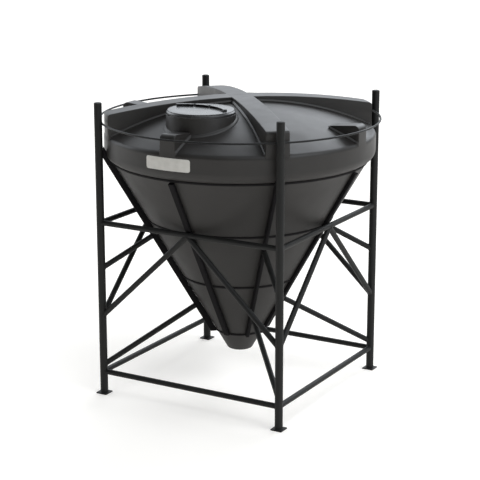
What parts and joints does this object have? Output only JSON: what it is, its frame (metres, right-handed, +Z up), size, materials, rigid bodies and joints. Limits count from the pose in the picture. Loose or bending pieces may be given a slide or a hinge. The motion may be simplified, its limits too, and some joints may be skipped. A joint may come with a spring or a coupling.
{
  "type": "cone bottom tank with stand",
  "caption": "Round plastic cone-bottom storage tank with a domed, ribbed roof and a round hatch, held in a square welded steel tube stand.",
  "frame": {"origin": "on the ground, at the centre of the square of posts, under the tank's axis", "axes": "+Z up along the tank's axis; -Y is the front, where the hatch and the label plate are; +X is to the right as seen from the front"},
  "size_m": [2.48, 2.48, 2.645],
  "materials": {
    "tank_plastic": "moulded, slightly satin",
    "stand_steel": "satin black paint"
  },
  "bodies": {
    "root": {"tank_shell": "tank_plastic", "roof": "tank_plastic", "hatch_lid": "tank_plastic", "post_front_left": "stand_steel", "post_front_right": "stand_steel", "post_back_left": "stand_steel", "post_back_right": "stand_steel", "bottom_rail_front": "stand_steel", "bottom_rail_right": "stand_steel", "bottom_rail_back": "stand_steel", "bottom_rail_left": "stand_steel", "mid_rail_front": "stand_steel", "mid_rail_right": "stand_steel", "mid_rail_back": "stand_steel", "mid_rail_left": "stand_steel", "knee_brace_front_left": "stand_steel", "knee_brace_front_right": "stand_steel", "knee_brace_right_left": "stand_steel", "knee_brace_right_right": "stand_steel", "knee_brace_back_left": "stand_steel", "knee_brace_back_right": "stand_steel", "knee_brace_left_left": "stand_steel", "knee_brace_left_right": "stand_steel", "upper_strut_front_left": "stand_steel", "upper_strut_front_right": "stand_steel", "upper_strut_back_left": "stand_steel", "upper_strut_back_right": "stand_steel", "lower_strut_front_left": "stand_steel", "lower_strut_front_right": "stand_steel", "lower_strut_back_left": "stand_steel", "lower_strut_back_right": "stand_steel", "corner_rib_front_left": "stand_steel", "corner_rib_front_right": "stand_steel", "corner_rib_back_left": "stand_steel", "corner_rib_back_right": "stand_steel", "face_rib_front": "stand_steel", "face_rib_right": "stand_steel", "face_rib_back": "stand_steel", "face_rib_left": "stand_steel", "cone_ring_1": "stand_steel", "cone_ring_2": "stand_steel", "cone_ring_3": "stand_steel", "cone_ring_4": "stand_steel", "top_hoop_front": "stand_steel", "top_hoop_right": "stand_steel", "top_hoop_back": "stand_steel", "top_hoop_left": "stand_steel"}
  },
  "joints": []
}
